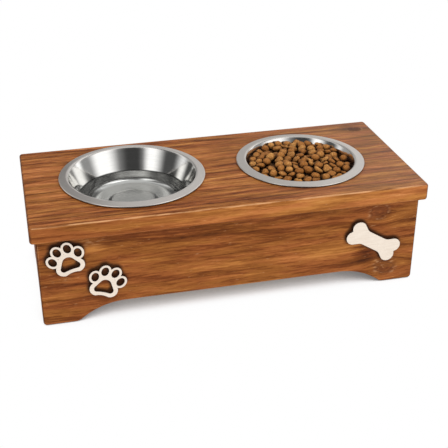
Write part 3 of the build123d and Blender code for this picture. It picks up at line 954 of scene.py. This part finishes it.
def turned_piece(name, section, centre, finish, body):
    """Turns a section, given in mm about a bowl's axis and rim level, and moves it there."""
    mesh = bpy.data.meshes.new(name + "_section")
    mesh.from_pydata([(x * mm, 0, z * mm) for x, z in section],
                     [(i, i + 1) for i in range(len(section) - 1)], [])
    piece = run_geometry(name, mesh, lathe, body, {"Steps": lathe_steps, "Finish": finish})
    shift_mesh(piece, centre)
    return piece


def rim_centre(node):
    """Middle of a round node at its highest level."""
    low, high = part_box(node)
    return Vector(((low.x + high.x) / 2, (low.y + high.y) / 2, high.z))


water_centre, food_centre = rim_centre("water_bowl"), rim_centre("food_bowl")
water_level = (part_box("water")[1].z - water_centre.z) / mm
print("water stands", round(-water_level, 1), "mm under the rim")

# %% [markdown]
# ### Steel
#
# The bowls are stainless steel: the wall is drawn and polished, the rim is brushed satin. Both
# carry fine lines round the axis, so the noise reads the distance from the axis, the height and,
# much more slowly, the turn. The rolled edge is painted dark underneath, a painted shade where it
# sees the box alone.
#
# Under water the lines vanish, and the steel's colour is painted darker where it would mirror the
# unlit side of the wall, on the raised disc too: a painted reflection of shade. A dark line is
# painted along the shore. The outer face must not show the painted shade, so the material compares
# how far the surface looks outward with how far it looks up.

# %% Steel under water
line_strength, wet_strength = 0.3, 0.02       # of the brushed lines, in air and under water
wet_roughness = 0.08                          # more than in air
disc_shade, disc_depth = tone(196, 195, 191), 0.7
disc_edge_width = 1.8                         # mm
# painted reflection of shade: the colour of the sides under water that would mirror the unlit wall
wet_shade, wet_depth = tone(62, 61, 58), 0.88
wet_ways, wet_sides = (178, -18), (0.62, 0.88)   # degrees round the axis, 0 to the right
wet_from = (44, 48)                           # mm from the axis
waterline_shade, waterline_depth, waterline_width = tone(40, 40, 38), 0.6, 0.7   # width in mm


def wet_steel(tree, colour, rough, place, out, z, normal, waterline, disc_radius):
    """Steel that water covers: colour, roughness and strength of the brushed lines."""
    under_water = tree.math("LESS_THAN", z, waterline)
    disc = tree.less(1, tree.ease(out, disc_radius - 1, disc_radius))
    colour = tree.mix(tree.times(disc, disc_depth), colour, disc_shade)
    step = tree.less(out, disc_radius + disc_slope / 2)
    step = tree.bell(tree.math("DIVIDE", step, disc_edge_width))
    wet = tree.most(step, tree.ease(out, *wet_from))
    outward = tree.vector("NORMALIZE", tree.scaled(place, (1, 1, 0)))
    outward = tree.vector("DOT_PRODUCT", normal, outward, output="Value")
    inside = tree.math("LESS_THAN", outward, tree.parts(normal)[2])
    wet = tree.times(wet, tree.times(inside, under_water))
    # painted shade: the sides that would mirror the unlit side of the wall are painted darker
    for way in wet_ways:
        toward = (cos(radians(way)), sin(radians(way)), 0)
        toward = tree.vector("DOT_PRODUCT", place, toward, output="Value")
        side = tree.ease(tree.math("DIVIDE", toward, out), *wet_sides)
        colour = tree.mix(tree.times(tree.times(wet, side), wet_depth), colour, wet_shade)
    line = tree.bell(tree.math("DIVIDE", tree.less(z, waterline), waterline_width))
    line = tree.times(tree.times(line, inside), waterline_depth)
    brushed = tree.between(under_water, line_strength, wet_strength)
    rough = tree.plus(rough, under_water, wet_roughness)
    return tree.mix(line, colour, waterline_shade), rough, brushed

# %% Steel of the bowls
polished = tone(232, 231, 228), tone(246, 245, 242)
line_scale, line_depth = (2.2, 2.2, 1.5), 0.02 * mm   # lines over 1 mm out, 1 mm up, 1 radian
wall_roughness, satin_roughness, smudge_roughness = (0.06, 0.12), 0.24, 0.08
rim_inside, rim_levels, rim_depth = (-2, 1), (-2.6, -1.5), 0.8   # mm from the lip, from its level
edge_shade, edge_depth = tone(40, 38, 36), 0.85
edge_from, edge_facing = (-1.6, -1.2), (0.0, 0.55)    # mm from the rim's edge; how far it looks up


def bowl_steel(name, centre, sizes, rim_tone, waterline=None):
    """Stainless steel of one bowl, brushed round its axis, with a satin rim."""
    lip = sizes.rim_radius - sizes.rim_width
    material, tree, output = new_material(name)
    place = tree.vector("SUBTRACT", in_millimetres(tree), tuple(centre / mm))
    x, y, z = tree.parts(place)
    out = tree.length(tree.scaled(place, (1, 1, 0)))
    lines = tree.noise(tree.joined(out, z, tree.math("ARCTAN2", y, x)), line_scale, 3, 0.6)
    smudge = tree.noise(place, (0.03, 0.03, 0.03), 2)
    on_rim = tree.ease(out, *(lip + step for step in rim_inside))
    on_rim = tree.times(on_rim, tree.ease(z, *rim_levels))
    rough = tree.plus(tree.between(lines, *wall_roughness), on_rim, satin_roughness)
    rough = tree.sway(rough, smudge, smudge_roughness)
    colour = tree.mix(tree.ease(lines, 0.3, 0.7), *polished)
    colour = tree.mix(tree.times(on_rim, rim_depth), colour, rim_tone)
    normal = own_normal(tree)
    # painted shade: the underside of the rolled edge is painted dark, as a contact shadow line
    under = tree.times(tree.ease(out, *(sizes.rim_radius + step for step in edge_from)),
                       tree.less(1, tree.ease(tree.parts(normal)[2], *edge_facing)))
    colour = tree.mix(tree.times(under, edge_depth), colour, edge_shade)
    brushed = line_strength
    if waterline is not None:
        colour, rough, brushed = wet_steel(
            tree, colour, rough, place, out, z, normal, waterline, sizes.disc_radius)
    finish_surface(tree, output, Base_Color=colour, Metallic=1.0, Roughness=rough,
                   Normal=bumped(tree, lines, line_depth, brushed))
    return material

# %% The two bowls
shore_rise = 0.4   # mm: the dark line of the shore lies this much over the water's level
for node, centre, sizes, body, rim_tone, waterline in [
    ("water_bowl", water_centre, water_sizes, "water_dish", tone(255, 247, 240),
     water_level + shore_rise),
    ("food_bowl", food_centre, food_sizes, "food_dish", tone(240, 232, 224), None),
]:
    finish = bowl_steel(node + "_steel", centre, sizes, rim_tone, waterline)
    piece = turned_piece(node + "_steel", bowl_section(*sizes), centre, finish, body)
    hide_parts(node)

# %% [markdown]
# ## Screws
#
# The screws are plain zinc. They are sunk and mostly hidden, so the packed shapes serve as they
# are, and a little grime in the colour and the shine is enough.

# %% Zinc of the screws
dull_zinc, bright_zinc = tone(150, 146, 136), tone(196, 192, 180)

screw_zinc, tree, output = new_material("screw_zinc")
grime = tree.noise(in_millimetres(tree), (1.5, 1.5, 1.5), 3)
finish_surface(tree, output, Base_Color=tree.mix(grime, dull_zinc, bright_zinc),
               Metallic=1.0, Roughness=tree.between(grime, 0.28, 0.5))
dress(screw_zinc, "corner_screws", "cleat_screws", "batten_screws")

# %% [markdown]
# ## Water
#
# Light bends where it enters water, so a sheet on top isn't enough: the water is a closed body.
# Its underside follows the bowl's wall just above the steel, and at the shore it climbs the
# steel a little, as water does. The lathe turns it, and a slow bump bends its mirror image.

# %% Water
steel_gap = 0.3          # mm between the water's underside and the steel
meniscus = [(0.35, 0.9), (-0.45, 0.35), (-1.4, 0.08), (-3.0, 0)]   # mm from the shore, upward
ripple_depth, ripple_strength = 0.4 * mm, 0.3

wetted = [point for point in bowl_wall(*water_sizes) if point[1] < water_level - shore_rise]
shore = (water_sizes.rim_radius - water_sizes.rim_width) + water_level * wall_taper
surface = [(shore + out, water_level + rise) for out, rise in meniscus]
section = np.array([*thickened(wetted, steel_gap), *surface, (0, water_level)])

clear_water, tree, output = new_material("clear_water")
ripple = tree.noise(in_millimetres(tree), (0.03, 0.03, 0.03), 1)
finish_surface(tree, output, Base_Color=(0.97, 0.985, 0.98, 1), Roughness=0.0, IOR=1.333,
               Transmission_Weight=1.0, Normal=bumped(tree, ripple, ripple_depth, ripple_strength))
piece = turned_piece("clear_water", section, water_centre, clear_water, "water_dish")
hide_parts("water")

# %% [markdown]
# ## Dry food
#
# The heap is loose pieces, so it is made as loose pieces: balls are dropped in the bowl, push
# each other and the wall until they rest, and a low dome over them keeps the heap's shape. This
# takes a few lines of arithmetic and gives the same heap each time, where a physics bake would
# be slow. Geometry Nodes then put a lump of food on each ball, turned at random.

# %% Where the pieces of food come to rest
crown_spot = (3.0, 15.0)    # mm from the bowl's axis
crown_level = 4.2           # mm over the rim
crown_spread = 560.0        # mm: the surface falls by the distance squared over this
food_count, food_seed = 370, 11
food_radius = (5.0, 6.3)    # mm
food_lift = (-1.4, 0.4)     # mm that a piece may lie under or stand over the even surface
drop_reach, drop_low, drop_top = 50, 8, 10    # mm from the axis, over the base, over the rim
settle_steps, fall_step, slow_end = 500, 0.5, 200
closeness, push_share, push_rounds = 0.97, 0.42, 2   # balls may press a little into each other
shown_depth = 7.5           # mm: a piece deeper than this is hidden and may be plainer


def heap_level(x, y):
    """Height of the heap's even surface over the level of the rim, in mm."""
    return crown_level - ((x - crown_spot[0]) ** 2 + (y - crown_spot[1]) ** 2) / crown_spread


def settle(count, seed):
    """Balls in the bowl that pushed each other apart until they rest: places and radii in mm."""
    rng = np.random.default_rng(seed)
    lip, depth = food_sizes.rim_radius - food_sizes.rim_width, food_sizes.depth
    size = rng.uniform(*food_radius, count)
    lift = rng.uniform(*food_lift, count)
    angle = rng.uniform(0, 2 * pi, count)
    reach = drop_reach * np.sqrt(rng.uniform(0, 1, count))
    height = rng.uniform(drop_low - depth, drop_top, count)
    ball = np.stack([reach * np.cos(angle), reach * np.sin(angle), height], 1)
    for step in range(settle_steps):
        ball[:, 2] -= min(fall_step, (settle_steps - step) / slow_end)
        for _ in range(push_rounds):
            gap = ball[:, None] - ball[None]
            apart = np.linalg.norm(gap, axis=2) + 1e-9
            need = (size[:, None] + size[None]) * closeness - apart
            np.fill_diagonal(need, -1)
            push = np.where(need > 0, need, 0)[..., None] * gap / apart[..., None]
            ball += push_share * push.sum(1)
            out = np.linalg.norm(ball[:, :2], axis=1) + 1e-9
            wall = lip + ball[:, 2] * wall_taper
            into = np.clip(size - (wall - out) * cos(wall_lean), 0, None)
            ball[:, :2] -= (ball[:, :2] / out[:, None]) * (into * cos(wall_lean))[:, None]
            ball[:, 2] += into * sin(wall_lean)
            ball[:, 2] = np.maximum(ball[:, 2], disc_level - depth + size)
            ball[:, 2] = np.minimum(ball[:, 2], heap_level(ball[:, 0], ball[:, 1]) - size + lift)
    return ball, size


food_places, food_radii = settle(food_count, food_seed)
below = heap_level(food_places[:, 0], food_places[:, 1]) - food_places[:, 2] - food_radii
food_shown = below < shown_depth
print(int(food_shown.sum()), "pieces of food show,", len(food_radii), "in all")

# %% [markdown]
# ### Lumps of food
#
# Pressed dog food comes in a few shapes with soft edges. Each is written as a handful of balls,
# and the points of a small sphere are drawn out along their own directions until they meet the
# balls' surface. Hidden lumps use a plainer sphere, which saves most of the faces.

# %% Shapes of the food
food_lobes = {  # centre and radius of each ball, for a lump about 1 in radius
    "ball": [((0, 0, 0), 0.96)],
    "pillow": [((x, 0, 0), 0.82) for x in (-0.22, 0.22)],
    "cross": [((x, y, 0), 0.56) for x, y in [(0.48, 0), (-0.48, 0), (0, 0.48), (0, -0.48)]],
    "clover": [((x, y, 0), 0.62) for x, y in [(0.46, 0), (-0.23, 0.4), (-0.23, -0.4)]],
    "bone": [((0, 0, 0), 0.5)] + [((x, y, 0), 0.46) for x in (0.7, -0.7) for y in (0.3, -0.3)],
}
squash = {"ball": 0.9, "pillow": 0.9, "cross": 0.82, "clover": 0.82, "bone": 0.82}
blend = 8    # power of the mean that blends the balls: more gives sharper creases


def food_shape(name, lobes, flatness, fineness):
    """A lump: every point of an icosphere is drawn out to the surface of the balls inside."""
    shape = bmesh.new()
    bmesh.ops.create_icosphere(shape, subdivisions=fineness, radius=1.0)
    for corner in shape.verts:
        way = corner.co.normalized()
        total = 0
        for centre, radius in lobes:
            along = way.dot(Vector(centre))
            inside = along**2 - Vector(centre).length_squared + radius**2
            if inside > 0 and along + inside**0.5 > 0:
                total += (along + inside**0.5) ** blend
        corner.co = way * total ** (1 / blend)
        corner.co.z *= flatness
    for face in shape.faces:
        face.smooth = True
    mesh = bpy.data.meshes.new(name)
    shape.to_mesh(mesh)
    shape.free()
    return bpy.data.objects.new(name, mesh)


def food_set(name, fineness):
    """One lump of each shape, in a collection that Geometry Nodes pick from."""
    shapes = bpy.data.collections.new(name)
    for kind, lobes in food_lobes.items():
        shapes.objects.link(food_shape(f"{name}_{kind}", lobes, squash[kind], fineness))
    return shapes


food_sets = {"Fine shapes": food_set("fine_food", 2), "Plain shapes": food_set("plain_food", 1)}
print(len(food_lobes), "shapes of food in", len(food_sets), "finenesses")

# %% [markdown]
# ### The heap
#
# Every ball's place becomes a point that carries its radius and whether it shows. The tree picks a
# lump for each point, turns it, scales it to the ball and roughens the result along its normals. A
# random number stays on every lump's points, so that the finish can give each lump its own brown.

# %% Heap by Geometry Nodes
tilt = 0.6           # radians that a lump leans at most
lump_scale = 300     # lumps of the roughness over 1 m

heap, given, result = new_geometry(
    "heap", {"Fine shapes": "Collection", "Plain shapes": "Collection", "Seed": "Int",
             "Roughness": "Float", "Finish": "Material"})


def drawn(low, high, first, output, kind):
    """A random value for each point, between two inputs of the Random Value node."""
    inputs = {first: low, first + 1: high, "Seed": given["Seed"]}
    return heap.add("FunctionNodeRandomValue", inputs, output, data_type=kind)


def carried(name, kind):
    """A value that every point brings with it."""
    return heap.add("GeometryNodeInputNamedAttribute", {"Name": name}, "Attribute", data_type=kind)


marked = heap.add("GeometryNodeStoreNamedAttribute",
                  {"Geometry": given["Mesh"], "Name": "batch",
                   "Value": drawn(0.0, 1.0, 2, 1, "FLOAT")}, data_type="FLOAT", domain="POINT")
kind = drawn(0, len(food_lobes) - 1, 4, 2, "INT")
spin = drawn((-tilt, -tilt, 0), (tilt, tilt, 2 * pi), 0, 0, "FLOAT_VECTOR")
shown = carried("shown", "BOOLEAN")
hidden = heap.add("FunctionNodeBooleanMath", {0: shown}, operation="NOT")
pieces = heap.tree.nodes.new("GeometryNodeJoinGeometry")
for chosen, shapes in [(shown, "Fine shapes"), (hidden, "Plain shapes")]:
    choices = heap.add("GeometryNodeCollectionInfo", {
        "Collection": given[shapes], "Separate Children": True, "Reset Children": True})
    scattered = heap.add("GeometryNodeInstanceOnPoints", {
        "Points": marked, "Selection": chosen, "Instance": choices, "Pick Instance": True,
        "Instance Index": kind, "Rotation": spin, "Scale": carried("size", "FLOAT")})
    heap.join(scattered, pieces.inputs["Geometry"])
whole = heap.add("GeometryNodeRealizeInstances", {"Geometry": pieces.outputs[0]})
lumps = heap.noise(heap.add("GeometryNodeInputPosition"), (lump_scale,) * 3, 2)
outward = heap.add("GeometryNodeInputNormal", output="Normal")
offset = heap.vector("SCALE", outward)
heap.join(heap.times(heap.less(lumps, 0.5), given["Roughness"]), offset.node.inputs["Scale"])
rough = heap.add("GeometryNodeSetPosition", {"Geometry": whole, "Offset": offset})
end_geometry(heap, rough, given["Finish"], result)

# %% [markdown] ### Finish of the food Baked food is crumbly and dull. The gaps between the lumps and the lumps deep in the heap are painted dark brown, a painted shade: light that gets in there bounces from brown to brown.

# %% Baked food
crust = [(0.0, tone(96, 52, 14)), (0.5, tone(166, 105, 42)), (1.0, tone(220, 165, 92))]
crumb_scale, crumb_strength, crumb_relief = 0.55, 1.5, 0.9 * mm
batch_range = (0.36, 0.72)                 # tone of the darkest and the lightest lump
# painted shade: colour and strength of the dark brown painted into the gaps and deep in the heap
gap_shade, gap_depth = tone(48, 20, 6), 0.9
gap_reach, gap_open = 9 * mm, (0.28, 0.92)   # how far a lump looks round; openness in a gap
deep_from = (2.0, 12.0)                    # mm under the heap's surface
food_roughness, lump_seed = 2.2 * mm, 4

baked_food, tree, output = new_material("baked_food")
place = tree.vector("SUBTRACT", in_millimetres(tree), tuple(food_centre / mm))
crumb = tree.noise(place, (crumb_scale,) * 3, 4, 0.65)
batch = tree.add("ShaderNodeAttribute", attribute_name="batch", output="Fac")
baked = tree.sway(tree.between(batch, *batch_range), crumb, crumb_strength)
colour = tree.ramp(baked, crust)
x, y, z = tree.parts(place)
aside = tree.math("ADD", tree.math("POWER", tree.less(x, crown_spot[0]), 2),
                  tree.math("POWER", tree.less(y, crown_spot[1]), 2))
level = tree.plus(crown_level, aside, -1 / crown_spread)
# painted shade: darker deep under the heap's surface and where little is open round a lump
deep = tree.ease(tree.less(level, z), *deep_from)
open_air = open_to_air(tree, gap_reach)
deep = tree.most(deep, tree.less(1, tree.ease(open_air, *gap_open)))
colour = tree.mix(tree.times(deep, gap_depth), colour, gap_shade)
finish_surface(tree, output, Base_Color=colour, Roughness=tree.between(crumb, 0.55, 0.8),
               Specular_IOR_Level=0.25, Normal=bumped(tree, crumb, crumb_relief, 0.9))

points = bpy.data.meshes.new("food_points")
points.from_pydata((food_places * mm).tolist(), [], [])
points.attributes.new("size", "FLOAT", "POINT").data.foreach_set("value", food_radii * mm)
points.attributes.new("shown", "BOOLEAN", "POINT").data.foreach_set("value", food_shown)
food = run_geometry("dry_food_pieces", points, heap, "food_dish", {
    "Seed": lump_seed, "Roughness": food_roughness, "Finish": baked_food, **food_sets})
shift_mesh(food, food_centre)
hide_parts("dry_food")
print("heap stands", round(max(corner.co.z for corner in food.data.vertices) / mm, 1), "mm high")

# %% [markdown]
# ## Sizes and the last line
#
# The construction's box and the dressed feeder's box are kept side by side, so that anyone can see
# how far the finer shapes reach past the packed ones.

# %% Sizes
boxes = {"cad": cad_box, "visual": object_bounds()}
dressed = boxes["visual"][1] - boxes["visual"][0]
print("dressed size in mm:", [round(side / mm, 1) for side in dressed])
